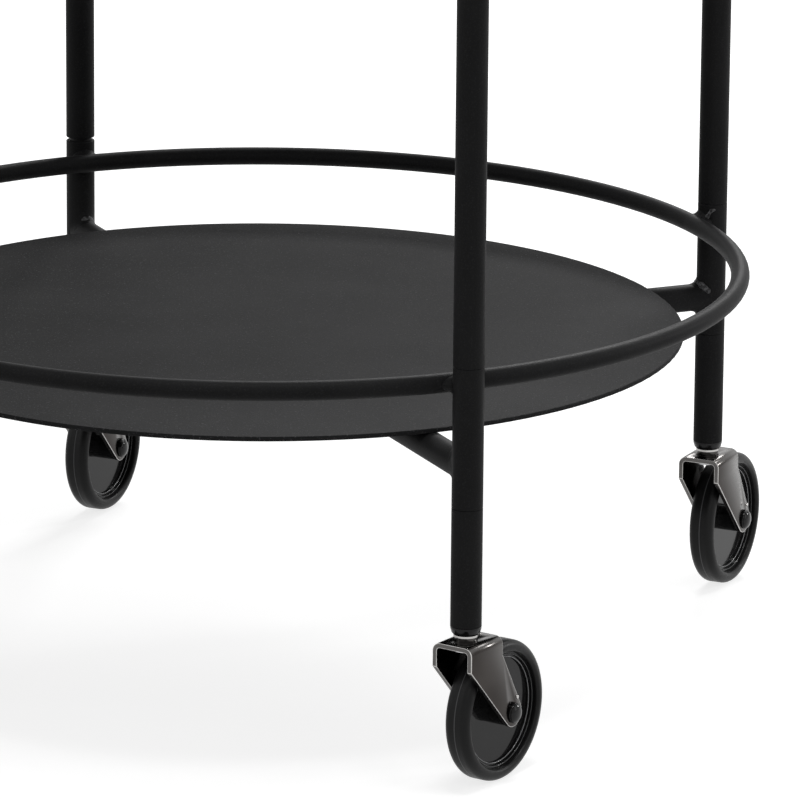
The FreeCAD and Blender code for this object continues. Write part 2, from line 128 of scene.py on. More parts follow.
world = bpy.data.worlds.new("white_studio")
bpy.context.scene.world = world
world.use_nodes = True
tree = world.node_tree
strength = tree.nodes.new("ShaderNodeMapRange")
strength.inputs["To Min"].default_value = WORLD_LIGHT
strength.inputs["To Max"].default_value = 1.0
background = tree.nodes["Background"]
background.inputs["Color"].default_value = (1, 1, 1, 1)
tree.links.new(seen_as_background(tree), strength.inputs["Value"])
tree.links.new(strength.outputs["Result"], background.inputs["Strength"])
bpy.context.scene.view_settings.view_transform = "Standard"
print("World light", WORLD_LIGHT)

# %% Floor
FLOOR_SIZE = 14.0
FLOOR_SINK = 0.0003
LIT_PAPER = (0.8, 0.8, 0.8, 1)
SEEN_PAPER = (0.4, 0.4, 0.4, 1)
bpy.ops.object.select_all(action="DESELECT")
bpy.ops.mesh.primitive_plane_add(size=FLOOR_SIZE, location=(0, 0, -FLOOR_SINK))
floor = bpy.context.object
floor.name = "studio_floor"
paper = bpy.data.materials.new("white_paper")
paper.use_nodes = True
tree = paper.node_tree
tree.nodes.remove(tree.nodes["Principled BSDF"])
plain = tree.nodes.new("ShaderNodeBsdfDiffuse")
plain.inputs["Color"].default_value = LIT_PAPER
shaded = tree.nodes.new("ShaderNodeBsdfDiffuse")
shaded.inputs["Color"].default_value = SEEN_PAPER
glow = tree.nodes.new("ShaderNodeEmission")
glow.inputs["Strength"].default_value = FLOOR_GLOW
lifted = tree.nodes.new("ShaderNodeAddShader")
choice = tree.nodes.new("ShaderNodeMixShader")
tree.links.new(shaded.outputs[0], lifted.inputs[0])
tree.links.new(glow.outputs[0], lifted.inputs[1])
tree.links.new(seen_as_background(tree), choice.inputs[0])
tree.links.new(plain.outputs[0], choice.inputs[1])
tree.links.new(lifted.outputs[0], choice.inputs[2])
tree.links.new(choice.outputs[0], tree.nodes["Material Output"].inputs["Surface"])
floor.data.materials.append(paper)
print("Floor of", FLOOR_SIZE, "m")

# %% Soft boxes
SOFT_BOXES = {
    # name: degrees to the right of the camera, degrees up, metres away, width, height, watts
    "overhead_box": (30, 79, 2.2, 0.8, 0.5, 28),
    "front_box": (10, 38, 3.0, 1.0, 1.0, 8),
    "back_right_box": (125, 38, 2.4, 0.35, 0.35, 5),
    "backdrop_box": (164, 33, 2.4, 0.9, 0.7, 34),
    "left_box": (-75, 25, 2.6, 0.8, 1.8, 6),
    "right_box": (75, 22, 2.6, 0.8, 1.8, 5),
    "glint_box": (111, 14, 2.4, 0.2, 0.2, 8),
}
for name, (aside, height, distance, width, tall, watts) in SOFT_BOXES.items():
    turn = VIEW_AZIMUTH + math.radians(aside)
    lift = math.radians(height)
    away = Vector((math.sin(turn) * math.cos(lift), -math.cos(turn) * math.cos(lift), math.sin(lift)))
    facing = away.to_track_quat("Z", "Y").to_euler()
    bpy.ops.object.select_all(action="DESELECT")
    bpy.ops.object.light_add(type="AREA", location=ring_centre + away * distance, rotation=facing)
    box = bpy.context.object
    box.name = name
    box.data.shape = "RECTANGLE"
    box.data.size = width
    box.data.size_y = tall
    box.data.energy = watts
print("Soft boxes", ", ".join(SOFT_BOXES))

# %% [markdown]
# ## Finishes
#
# A finish is a Principled shader whose colour, roughness and bump vary a little over the surface. The CAD
# pieces have no UV maps, so every pattern reads Object coordinates, which are metres in the trolley's own
# frame: a noise scale of 1000 has grains of about a millimetre. Values that are the same all over are set on
# the shader's own sockets.

# %% Helpers for finishes
BLUE_CAST = 1.03


def new_finish(name, specular=0.5, metallic=0.0):
    """Starts a finish and gives its node tree, its shader and its Object coordinates."""
    material = bpy.data.materials.new(name)
    material.use_nodes = True
    tree = material.node_tree
    shader = tree.nodes["Principled BSDF"]
    shader.inputs["Specular IOR Level"].default_value = specular
    shader.inputs["Metallic"].default_value = metallic
    place = tree.nodes.new("ShaderNodeTexCoord").outputs["Object"]
    return material, tree, shader, place


def noise(tree, place, scale, detail=3.0, stretch=(1, 1, 1)):
    """A noise pattern at a scale per metre, which can be stretched along an axis."""
    mapping = tree.nodes.new("ShaderNodeMapping")
    mapping.inputs["Scale"].default_value = stretch
    pattern = tree.nodes.new("ShaderNodeTexNoise")
    pattern.inputs["Scale"].default_value = scale
    pattern.inputs["Detail"].default_value = detail
    tree.links.new(place, mapping.inputs["Vector"])
    tree.links.new(mapping.outputs["Vector"], pattern.inputs["Vector"])
    return pattern.outputs["Fac"]


def spread(tree, value, low, high, start=0.3, end=0.7):
    """Spreads a pattern between two numbers."""
    span = tree.nodes.new("ShaderNodeMapRange")
    span.inputs["From Min"].default_value = start
    span.inputs["From Max"].default_value = end
    span.inputs["To Min"].default_value = low
    span.inputs["To Max"].default_value = high
    tree.links.new(value, span.inputs["Value"])
    return span.outputs["Result"]


def shade(tree, value, *stops):
    """Turns a pattern into greys or colours by (position, colour) stops."""
    ramp = tree.nodes.new("ShaderNodeValToRGB")
    band = ramp.color_ramp
    while len(band.elements) < len(stops):
        band.elements.new(0.5)
    for element, (position, colour) in zip(band.elements, stops):
        element.position = position
        element.color = (*colour, 1)
    tree.links.new(value, ramp.inputs["Fac"])
    return ramp.outputs["Color"]


def mix(tree, share, first, second):
    """Goes from a colour socket to a plain colour as the share rises from 0 to 1."""
    blend = tree.nodes.new("ShaderNodeMix")
    blend.data_type = "RGBA"
    blend.inputs["B"].default_value = (*second, 1)
    tree.links.new(share, blend.inputs["Factor"])
    tree.links.new(first, blend.inputs["A"])
    return blend.outputs["Result"]


def away_from(tree, vector, direction, middle=0.0):
    """How far a vector reaches along a direction from a middle, on either side of it."""
    reach = tree.nodes.new("ShaderNodeVectorMath")
    reach.operation = "DOT_PRODUCT"
    reach.inputs[1].default_value = direction
    offset = tree.nodes.new("ShaderNodeMath")
    offset.operation = "SUBTRACT"
    offset.inputs[1].default_value = middle
    distance = tree.nodes.new("ShaderNodeMath")
    distance.operation = "ABSOLUTE"
    tree.links.new(vector, reach.inputs[0])
    tree.links.new(reach.outputs["Value"], offset.inputs[0])
    tree.links.new(offset.outputs[0], distance.inputs[0])
    return distance.outputs[0]


def add_bump(tree, shader, height, strength, distance):
    """Lets a pattern raise the surface by up to a distance in metres."""
    bump = tree.nodes.new("ShaderNodeBump")
    bump.inputs["Strength"].default_value = strength
    bump.inputs["Distance"].default_value = distance
    tree.links.new(height, bump.inputs["Height"])
    tree.links.new(bump.outputs["Normal"], shader.inputs["Normal"])


def grey(level):
    """A grey with a slight blue cast."""
    return (level, level, level * BLUE_CAST)


def dress(material, *names):
    """Puts a finish on CAD pieces."""
    for name in names:
        slots = nodes[name].data.materials
        slots.clear()
        slots.append(material)


def per_leg(stem):
    """The names of a piece at all legs."""
    return [f"{stem}_{leg}" for leg in LEGS]


def per_shelf(stem):
    """The names of a piece on both shelves."""
    return [f"{shelf}_{stem}" for shelf in SHELVES]


print("Finish helpers ready")

# %% [markdown]
# ### Powder coat on the frame
#
# The tubes and rings have a fine matt black powder coat. Its grain is far smaller than a tube, so it shows
# as a soft break-up of the highlights rather than as a pattern. A bump of fine noise does that, and a slow
# drift of colour and roughness keeps long tubes from looking computed.

# %% Frame paint
frame_paint, tree, shader, place = new_finish("frame_powder_coat", specular=0.035)
drift = noise(tree, place, 30)
grain = noise(tree, place, 1300, detail=2)
coat = shade(tree, drift, (0.3, grey(0.010)), (0.7, grey(0.013)))
fleck = shade(tree, grain, (0.52, (0, 0, 0)), (0.78, (1, 1, 1)))
tree.links.new(mix(tree, fleck, coat, grey(0.021)), shader.inputs["Base Color"])
tree.links.new(spread(tree, grain, 0.44, 0.56), shader.inputs["Roughness"])
add_bump(tree, shader, grain, strength=0.5, distance=0.2 * MM)
dress(
    frame_paint,
    *per_leg("lower_leg"), *per_leg("lower_sleeve"), *per_leg("middle_leg"), *per_leg("upper_sleeve"),
    *per_shelf("ring"), *per_shelf("brace"), *per_shelf("brace_arms"), *per_shelf("tray_welds"), "leg_caps",
)
print("Frame paint on the tubes, rings and caps")

# %% [markdown]
# ### Powder coat on the trays
#
# The trays look a little greyer than the tubes, because a flat top faces the light, and their coat has a
# fine pale speckle. Two noises make it: a slow mottle under the colour, and a fine one that is cut off high,
# so that only its peaks show as grains.

# %% Tray paint
tray_paint, tree, shader, place = new_finish("tray_powder_coat", specular=0.02)
mottle = noise(tree, place, 18)
grain = noise(tree, place, 1100, detail=2)
base = shade(tree, mottle, (0.35, grey(0.015)), (0.65, grey(0.020)))
speckle = shade(tree, grain, (0.60, (0, 0, 0)), (0.74, (1, 1, 1)))
tree.links.new(mix(tree, speckle, base, grey(0.075)), shader.inputs["Base Color"])
tree.links.new(spread(tree, grain, 0.55, 0.68), shader.inputs["Roughness"])
add_bump(tree, shader, grain, strength=0.3, distance=0.2 * MM)
dress(tray_paint, *per_shelf("tray"))
print("Tray paint on both trays")

# %% [markdown]
# ### Black nickel on the forks
#
# The forks are bent from sheet and plated with black nickel: a dark metal that mirrors the white floor and
# the black trays, so the same sheet looks pale in one place and black in another. A metallic shader with a
# dark colour does that, and a faint upright brush mark in the roughness keeps it from being a perfect
# mirror. Where the sheet was cut, its edge is painted paler, a painted highlight for the light a cut edge
# catches. A cut edge faces neither along the axle nor up, so the surface's own normal tells where it is.
# The forks stand at different angles, so each has a finish of its own. The rounded edges get a pale metal
# finish, a painted highlight, and that is one finish for all of them.

# %% Black nickel
joints = {joint["name"]: joint for joint in frame["joints"]}
CUT_FADE_START = 0.75
CUT_FADE_END = 0.9
for leg in LEGS:
    black_nickel, tree, shader, place = new_finish(f"black_nickel_{leg}", metallic=1.0)
    brush = noise(tree, place, 220, stretch=(1, 1, 6))
    cloud = noise(tree, place, 45)
    plate = shade(tree, cloud, (0.3, (0.033, 0.0295, 0.0275)), (0.7, (0.045, 0.0405, 0.038)))
    facing = tree.nodes.new("ShaderNodeTexCoord").outputs["Normal"]
    along_axle = away_from(tree, facing, joints[f"roll_{leg}"]["axis"])
    upright = away_from(tree, facing, (0, 0, 1))
    side_or_top = tree.nodes.new("ShaderNodeMath")
    side_or_top.operation = "MAXIMUM"
    tree.links.new(along_axle, side_or_top.inputs[0])
    tree.links.new(upright, side_or_top.inputs[1])
    # The paler cut edge is a painted highlight, found by the surface's own normal
    cut_edge_highlight = spread(tree, side_or_top.outputs[0], 1.0, 0.0, start=CUT_FADE_START, end=CUT_FADE_END)
    tree.links.new(mix(tree, cut_edge_highlight, plate, (0.10, 0.096, 0.093)), shader.inputs["Base Color"])
    tree.links.new(spread(tree, brush, 0.14, 0.24), shader.inputs["Roughness"])
    add_bump(tree, shader, brush, strength=0.05, distance=0.1 * MM)
    dress(black_nickel, f"caster_fork_{leg}")

# A pale metal finish for the rounded fork edges and the press marks: a painted highlight
edge_highlight_finish, tree, shader, place = new_finish("nickel_edge_highlight", metallic=1.0)
edge_mottle = noise(tree, place, 400)
edge_highlight_tone = shade(tree, edge_mottle, (0.3, (0.36, 0.35, 0.34)), (0.7, (0.52, 0.51, 0.50)))
tree.links.new(edge_highlight_tone, shader.inputs["Base Color"])
tree.links.new(spread(tree, edge_mottle, 0.16, 0.26), shader.inputs["Roughness"])
print("Black nickel on", len(LEGS), "forks")

# %% [markdown]
# ### Rivets, collars and hidden steel
#
# The rivets that hold the wheels are glossy black, and show little but a small highlight. The swivel collars
# are coloured dark, a painted reflection of the dark things round them, with a bright band on top, a painted
# highlight, which the height above the floor tells apart. The stems, rods, plugs and bushes are zinc plated,
# and hardly show.

# %% Black rivets, collars and zinc
black_rivet, tree, shader, place = new_finish("black_rivet", specular=0.05)
cloud = noise(tree, place, 260)
tree.links.new(shade(tree, cloud, (0.3, grey(0.004)), (0.7, grey(0.007))), shader.inputs["Base Color"])
tree.links.new(spread(tree, cloud, 0.10, 0.18), shader.inputs["Roughness"])
dress(black_rivet, *per_leg("wheel_axle"))

# Height of the painted highlight band at the top of the collar
COLLAR_HIGHLIGHT_BAND = 1.05 * MM
COLLAR_HIGHLIGHT_FADE = 0.9 * COLLAR_HIGHLIGHT_BAND
collar_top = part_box("swivel_collars")[1].z
collar_painted_light, tree, shader, place = new_finish("collar_with_painted_reflections", metallic=1.0)
cloud = noise(tree, place, 90)
# The dark grey paints the dark reflections, and the bright band at the top paints a highlight
painted_dark_reflection = shade(tree, cloud, (0.3, (0.045, 0.043, 0.041)), (0.7, (0.07, 0.067, 0.064)))
below_top = away_from(tree, place, (0, 0, 1), collar_top)
painted_ring_highlight = spread(tree, below_top, 1.0, 0.0, start=COLLAR_HIGHLIGHT_FADE, end=COLLAR_HIGHLIGHT_BAND)
tree.links.new(mix(tree, painted_ring_highlight, painted_dark_reflection, (0.42, 0.41, 0.40)), shader.inputs["Base Color"])
tree.links.new(spread(tree, cloud, 0.08, 0.16), shader.inputs["Roughness"])
dress(collar_painted_light, "swivel_collars")

plain_steel, tree, shader, place = new_finish("zinc_plated_steel", metallic=1.0)
cloud = noise(tree, place, 120)
zinc = shade(tree, cloud, (0.3, (0.40, 0.40, 0.41)), (0.7, (0.54, 0.54, 0.55)))
tree.links.new(zinc, shader.inputs["Base Color"])
tree.links.new(spread(tree, cloud, 0.28, 0.42), shader.inputs["Roughness"])
dress(
    plain_steel, "caster_stems", "lower_leg_plugs", "middle_leg_plugs", "lower_tie_rods", "upper_tie_rods",
    *per_leg("wheel_bush"),
)
print("Finishes on the rivets, collars and hidden steel")

# %% [markdown]
# ### Black steel, gloss socket and gloss hub
#
# The spigot that shows in the open joint of the back leg is coloured near black. The caster sockets and the
# wheel hubs are glossy black plastic: nearly no colour of their own, a smooth surface, and reflections that
# do the rest. The moulded edges of a hub are painted lighter as painted highlights: the inner one pale, and
# the outer one only a little lighter.

# %% Spigots, sockets and hubs
# The spigot in the open joint is coloured near black
near_black_spigot, tree, shader, place = new_finish("near_black_spigot_finish", specular=0.1)
cloud = noise(tree, place, 200)
tree.links.new(shade(tree, cloud, (0.3, grey(0.005)), (0.7, grey(0.009))), shader.inputs["Base Color"])
tree.links.new(spread(tree, cloud, 0.35, 0.55), shader.inputs["Roughness"])
dress(near_black_spigot, "middle_leg_spigots")

black_socket, tree, shader, place = new_finish("gloss_black_socket", specular=0.2)
cloud = noise(tree, place, 150)
tree.links.new(shade(tree, cloud, (0.3, grey(0.004)), (0.7, grey(0.007))), shader.inputs["Base Color"])
tree.links.new(spread(tree, cloud, 0.12, 0.22), shader.inputs["Roughness"])
dress(black_socket, "caster_sockets")

hub_plastic, tree, shader, place = new_finish("gloss_hub_plastic", specular=0.13)
cloud = noise(tree, place, 120)
tree.links.new(shade(tree, cloud, (0.3, grey(0.007)), (0.7, grey(0.010))), shader.inputs["Base Color"])
tree.links.new(spread(tree, cloud, 0.05, 0.11), shader.inputs["Roughness"])
dress(hub_plastic, *per_leg("wheel_hub"))

# Both hub edge finishes are lighter than the hub: painted highlights
inner_lip_highlight, tree, shader, place = new_finish("hub_inner_edge_highlight", specular=0.5)
cloud = noise(tree, place, 300)
tree.links.new(shade(tree, cloud, (0.3, grey(0.10)), (0.7, grey(0.18))), shader.inputs["Base Color"])
tree.links.new(spread(tree, cloud, 0.12, 0.22), shader.inputs["Roughness"])

outer_lip_highlight, tree, shader, place = new_finish("hub_outer_edge_highlight", specular=0.3)
cloud = noise(tree, place, 300)
tree.links.new(shade(tree, cloud, (0.3, grey(0.02)), (0.7, grey(0.04))), shader.inputs["Base Color"])
tree.links.new(spread(tree, cloud, 0.12, 0.22), shader.inputs["Roughness"])
print("Finishes on the spigots, sockets and hubs")

# %% [markdown]
# ### Rubber tyres
#
# A moulded tyre has a fine parting line round the middle of its tread, where the two halves of the mould
# met. It could be a ridge in the mesh, but it is a tenth of a millimetre high, so the finish draws it as a
# pale line: a painted highlight for the light the ridge catches. How far a point lies along the axle is the
# dot product of its place with the axle's direction, less that of the wheel's middle. The wheels stand at
# different angles, so each tyre has a finish of its own.

# %% Tyre rubber
LINE_HALF_WIDTH = 0.35 * MM
for leg in LEGS:
    tyre_rubber, tree, shader, place = new_finish(f"tyre_rubber_{leg}", specular=0.14)
    axle = joints[f"roll_{leg}"]
    middle = Vector(axle["pos_m"]).dot(Vector(axle["axis"]))
    from_middle = away_from(tree, place, axle["axis"], middle)
    line = spread(tree, from_middle, 1.0, 0.0, start=LINE_HALF_WIDTH / 2, end=LINE_HALF_WIDTH)
    dust = noise(tree, place, 70)
    grain = noise(tree, place, 900, detail=2)
    rubber = shade(tree, dust, (0.35, grey(0.0045)), (0.7, grey(0.0075)))
    # The pale parting line is a painted highlight
    tree.links.new(mix(tree, line, rubber, grey(0.075)), shader.inputs["Base Color"])
    tree.links.new(spread(tree, grain, 0.32, 0.46), shader.inputs["Roughness"])
    add_bump(tree, shader, grain, strength=0.2, distance=0.2 * MM)
    dress(tyre_rubber, f"wheel_tyre_{leg}")
print("Finishes on", sum(len(node.data.materials) for node in nodes.values()), "pieces")

# %% [markdown]
# ## Weld beads on the frame
#
# The braces and the ring are welded to the legs, and the paint covers the beads. A bead is a lumpy fillet
# that flows from one tube onto the other. A torus squeezed into the corner would be quick, but its edge
# would float over the round tubes. Here each bead is a loft of ovals across the X axis, made at the right
# leg. The Shrinkwrap modifier then presses every oval along X onto the tube it lies on, a little short of
# its surface or a little inside it.

# %% Helpers for weld beads
OVAL_POINTS = 48
SAME_OVAL = 0.1 * MM
QUARTER_TURN = math.pi / 2
frame_axis = Vector((ring_centre.x, ring_centre.y, 0))


def loft_ovals(name, level, ovals):
    """Lofts ovals across the X axis at a height. An oval is (start, half width, half height), in metres."""
    start, half_width, half_height = ovals[0]
    middle = Vector((start, frame_axis.y, level))
    bpy.ops.object.select_all(action="DESELECT")
    bpy.ops.mesh.primitive_circle_add(
        vertices=OVAL_POINTS, radius=1, location=middle, rotation=(0, QUARTER_TURN, 0),
    )
    piece = bpy.context.object
    piece.name = name
    bpy.ops.object.transform_apply(location=True, rotation=True, scale=True)
    bpy.ops.object.mode_set(mode="EDIT")
    bpy.ops.mesh.select_all(action="SELECT")
    bpy.ops.transform.resize(value=(1, half_width, half_height), center_override=middle)
    for (start, half_width, half_height), (end, next_width, next_height) in zip(ovals, ovals[1:]):
        bpy.ops.mesh.extrude_region_move(TRANSFORM_OT_translate={"value": (end - start, 0, 0)})
        wider = (1, next_width / half_width, next_height / half_height)
        bpy.ops.transform.resize(value=wider, center_override=(end, frame_axis.y, level))
    bpy.ops.object.mode_set(mode="OBJECT")
    return piece


def press_ovals(piece, presses):
    """Presses the oval at each start along X onto a CAD piece, to a distance short of its surface."""
    for start, target, forwards, short in presses:
        group = piece.vertex_groups.new(name="oval")
        oval = [point.index for point in piece.data.vertices if abs(point.co.x - start) < SAME_OVAL]
        group.add(oval, 1.0, "REPLACE")
        press = piece.modifiers.new("press", "SHRINKWRAP")
        press.wrap_method = "PROJECT"
        press.target = nodes[target]
        press.vertex_group = group.name
        press.use_project_x = True
        press.use_positive_direction = forwards
        press.use_negative_direction = not forwards
        press.offset = short
    for press in list(piece.modifiers):
        bpy.ops.object.modifier_apply(modifier=press.name)
    piece.vertex_groups.clear()


def close_bead(piece, as_ring):
    """Joins the two open ends of a loft to each other, or fills them, and smooths the bead."""
    bpy.ops.object.mode_set(mode="EDIT")
    bpy.ops.mesh.select_all(action="DESELECT")
    bpy.ops.mesh.select_non_manifold()
    if as_ring:
        bpy.ops.mesh.bridge_edge_loops()
    else:
        bpy.ops.mesh.fill_holes(sides=0)
    bpy.ops.mesh.select_all(action="SELECT")
    bpy.ops.mesh.normals_make_consistent(inside=False)
    bpy.ops.object.mode_set(mode="OBJECT")
    rounder = piece.modifiers.new("rounder", "SUBSURF")
    rounder.levels = 1
    rounder.render_levels = 1
    bpy.ops.object.modifier_apply(modifier=rounder.name)
    bpy.ops.object.shade_smooth()


print("Bead helpers ready, with", OVAL_POINTS, "points to an oval")

# %% Helper that copies a bead round the frame
LUMP_SIZE = 4 * MM
LUMP_HEIGHT = 0.5 * MM
shelf_lift = {"lower": 0.0, "upper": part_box("upper_ring")[0].z - ring_low.z}
leg_turn = {leg: number * QUARTER_TURN for number, leg in enumerate(LEGS)}
weld_lumps = bpy.data.textures.new("weld_lumps", "CLOUDS")
weld_lumps.noise_scale = LUMP_SIZE


def copy_bead(bead, stem, legs, finish=frame_paint):
    """Copies a bead made at the right leg to legs of both shelves, and gives each copy its own lumps."""
    for shelf in SHELVES:
        lifted_axis = frame_axis + Vector((0, 0, shelf_lift[shelf]))
        for leg in legs:
            bpy.ops.object.select_all(action="DESELECT")
            bead.select_set(True)
            bpy.context.view_layer.objects.active = bead
            bpy.ops.object.duplicate()
            copy = bpy.context.object
            copy.name = f"{shelf}_{stem}_{leg}"
            round_axis = Matrix.Rotation(leg_turn[leg], 4, "Z")
            copy.matrix_world = Matrix.Translation(lifted_axis) @ round_axis @ Matrix.Translation(-frame_axis)
            bpy.ops.object.transform_apply(location=True, rotation=True, scale=True)
            lumps = copy.modifiers.new("lumps", "DISPLACE")
            lumps.texture = weld_lumps
            lumps.texture_coords = "LOCAL"
            lumps.strength = LUMP_HEIGHT
            bpy.ops.object.modifier_apply(modifier=lumps.name)
            copy.data.materials.append(finish)
            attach(copy, "frame")
    bpy.data.objects.remove(bead)
    print("Copied", stem, "to", ", ".join(legs), "on both shelves")


# %% [markdown]
# ### Beads where the braces meet the legs
#
# A brace meets the leg's round side at a right angle, and its bead runs all the way round as a collar. The
# ovals go from inside the brace's wall, out over the throat of the fillet, up to its toe on the leg, into
# the leg, and back down to the brace's wall. The first and the last are then bridged, which closes the
# collar into a ring.

# %% Brace beads
brace_low, brace_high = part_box("lower_brace")
brace_level = (brace_low.z + brace_high.z) / 2
leg_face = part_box("lower_sleeve_right")[0].x
# Millimetres from the leg at which the first oval is drawn, before it is pressed
BRACE_BEAD_START = 20
BRACE_OVALS = (
    # millimetres short of the leg, half width, half height
    (5.4, 7.0, 7.0),
    (5.4, 7.5, 7.5),
    (3.4, 7.5, 7.75),
    (1.9, 7.55, 8.4),
    (0.9, 7.6, 9.5),
    (0.3, 7.7, 10.9),
    (0.05, 7.8, 12.2),
    (0.0, 7.85, 13.0),
    (-0.8, 7.4, 12.4),
    (-0.8, 6.9, 6.9),
)
starts = [leg_face - (BRACE_BEAD_START - number) * MM for number in range(len(BRACE_OVALS))]
ovals = [(start, wide * MM, tall * MM) for start, (_, wide, tall) in zip(starts, BRACE_OVALS)]
bead = loft_ovals("brace_bead", brace_level, ovals)
press_ovals(bead, [
    (start, "lower_sleeve_right", True, short * MM)
    for start, (short, _, _) in zip(starts, BRACE_OVALS)
])
close_bead(bead, as_ring=True)
copy_bead(bead, "brace_bead", LEGS)

# %% [markdown]
# ### Beads where the arms meet the brace
#
# Under each tray, the two short arms are welded to the sides of the long brace. The tubes are equally thick,
# so the collar is thin above and below and thick at the sides. It is the same loft, pressed the other way.

# %% Cross beads
# Millimetres from the frame's axis at which the first oval is drawn, before it is pressed
CROSS_BEAD_START = 30
CROSS_OVALS = (
    # millimetres short of the brace, half width, half height
    (4.5, 7.0, 6.9),
    (4.5, 7.5, 7.3),
    (2.0, 8.2, 7.35),
    (0.7, 9.4, 7.4),
    (0.0, 11.0, 7.4),
    (-0.8, 10.2, 6.9),
    (-0.8, 7.0, 6.9),
)
starts = [frame_axis.x + (CROSS_BEAD_START - number) * MM for number in range(len(CROSS_OVALS))]
ovals = [(start, wide * MM, tall * MM) for start, (_, wide, tall) in zip(starts, CROSS_OVALS)]
bead = loft_ovals("cross_bead", brace_level, ovals)
press_ovals(bead, [
    (start, "lower_brace", False, short * MM)
    for start, (short, _, _) in zip(starts, CROSS_OVALS)
])
close_bead(bead, as_ring=True)
copy_bead(bead, "cross_bead", ("right", "left"))

# %% [markdown]
# ### Beads where the ring meets the legs
#
# The ring's rod touches each leg at one point, and the bead fills the hollow round that point. Its ovals
# start inside the leg, spread on its surface, draw in to a waist, and spread again along the rod. The ovals
# on the rod are pressed from outside, so they start beyond it and move back. Both ends lie inside the steel
# and are filled.

# %% Ring beads
ring_level = ring_centre.z
RING_OVALS = (
    # millimetres beyond the ring's outer side, half width, half height, what it is pressed on, short of it
    (-8, 6.6, 6.6, "lower_sleeve_right", -0.6),
    (-4, 7.5, 7.6, "lower_sleeve_right", 0.0),
    (2, 9.0, 4.8, "lower_ring", 1.7),
    (7, 12.0, 4.7, "lower_ring", 0.0),
    (12, 11.0, 3.9, "lower_ring", -0.6),
)
starts = [ring_high.x + beyond * MM for beyond, *_ in RING_OVALS]
ovals = [(start, wide * MM, tall * MM) for start, (_, wide, tall, _, _) in zip(starts, RING_OVALS)]
bead = loft_ovals("ring_bead", ring_level, ovals)
press_ovals(bead, [
    (start, target, target != "lower_ring", short * MM)
    for start, (_, _, _, target, short) in zip(starts, RING_OVALS)
])
close_bead(bead, as_ring=False)
copy_bead(bead, "ring_bead", LEGS)

# %% [markdown]
# ### Rough ends of the welds
#
# The last run of each weld was left as it froze: a short row of drops on the brace's bead, and a few drops
# over the ring. Each drop starts as a ball and is squashed a little, and the Remesh modifier fuses a row of
# drops into one skin. Its finish has pale patches, painted highlights for the light that rough drops catch.

# %% Painted highlights on the rough ends
weld_highlight_paint, tree, shader, place = new_finish("weld_paint_with_painted_highlights", specular=0.12)
highlight_patch = noise(tree, place, 700)
# The pale patches in the colour are painted highlights
tree.links.new(shade(tree, highlight_patch, (0.38, grey(0.020)), (0.70, grey(0.12))), shader.inputs["Base Color"])
tree.links.new(spread(tree, highlight_patch, 0.3, 0.45), shader.inputs["Roughness"])
add_bump(tree, shader, highlight_patch, strength=0.8, distance=0.4 * MM)

DROP_SQUASH = (0.85, 1.0, 1.0)
DROP_SUBDIVISIONS = 3
SKIN_STEP = 0.35 * MM


def drop_row(name, drops):
    """Fuses a row of squashed balls into one skin. A drop is (spot, radius), in metres."""
    balls = []
    for spot, radius in drops:
        bpy.ops.object.select_all(action="DESELECT")
        bpy.ops.mesh.primitive_ico_sphere_add(subdivisions=DROP_SUBDIVISIONS, radius=radius, location=spot)
        bpy.ops.object.mode_set(mode="EDIT")
        bpy.ops.mesh.select_all(action="SELECT")
        bpy.ops.transform.resize(value=DROP_SQUASH, center_override=spot)
        bpy.ops.object.mode_set(mode="OBJECT")
        bpy.ops.object.transform_apply(location=True, rotation=True, scale=True)
        balls.append(bpy.context.object)
    for ball in balls:
        ball.select_set(True)
    bpy.ops.object.join()
    row = bpy.context.object
    row.name = name
    fuse = row.modifiers.new("fuse", "REMESH")
    fuse.mode = "VOXEL"
    fuse.voxel_size = SKIN_STEP
    bpy.ops.object.modifier_apply(modifier=fuse.name)
    bpy.ops.object.shade_smooth()
    return row


print("Ready to fuse drops at steps of", SKIN_STEP / MM, "mm")

# %% Weld runs on the brace beads
RUN_REACH = 8.1 * MM
RUN_OFF_LEG = 0.5 * MM
RUN_DROP_RADII = (1.5, 2.1, 1.8, 2.3, 2.0, 1.6)
RUN_STEPS = len(RUN_DROP_RADII) - 1
RUN_TURNS = {
    # degrees from the top of the brace, where the run starts and where it stops
    "right": (-12, 55),
    "back": (-12, 24),
    "left": (-25, 40),
    "front": (-75, -20),
}
leg_low, leg_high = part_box("lower_sleeve_right")
leg_centre = (leg_low + leg_high) / 2
leg_radius = (leg_high.x - leg_low.x) / 2
for leg, (first, last) in RUN_TURNS.items():
    drops = []
    for number, radius in enumerate(RUN_DROP_RADII):
        turn = math.radians(first + (last - first) * number / RUN_STEPS)
        aside = RUN_REACH * math.sin(turn)
        back = math.sqrt(max(leg_radius ** 2 - aside ** 2, 0)) + RUN_OFF_LEG
        drops.append((
            Vector((leg_centre.x - back, leg_centre.y - aside, brace_level + RUN_REACH * math.cos(turn))),
            radius * MM,
        ))
    copy_bead(drop_row("weld_run", drops), "brace_run", (leg,), finish=weld_highlight_paint)

# %% Drops over the ring
RING_DROPS = (
    # millimetres from the leg's axis along X and Y, millimetres over the ring's middle, radius
    (-6.0, -6.0, 4.6, 1.5),
    (-5.2, -6.5, 6.2, 1.2),
    (-4.2, -7.0, 7.8, 1.3),
    (-2.8, -7.6, 8.4, 0.9),
)
drops = [
    (Vector((leg_centre.x + x * MM, leg_centre.y + y * MM, ring_level + rise * MM)), radius * MM)
    for x, y, rise, radius in RING_DROPS
]
copy_bead(drop_row("ring_drops", drops), "ring_drops", ("right", "left"), finish=weld_highlight_paint)
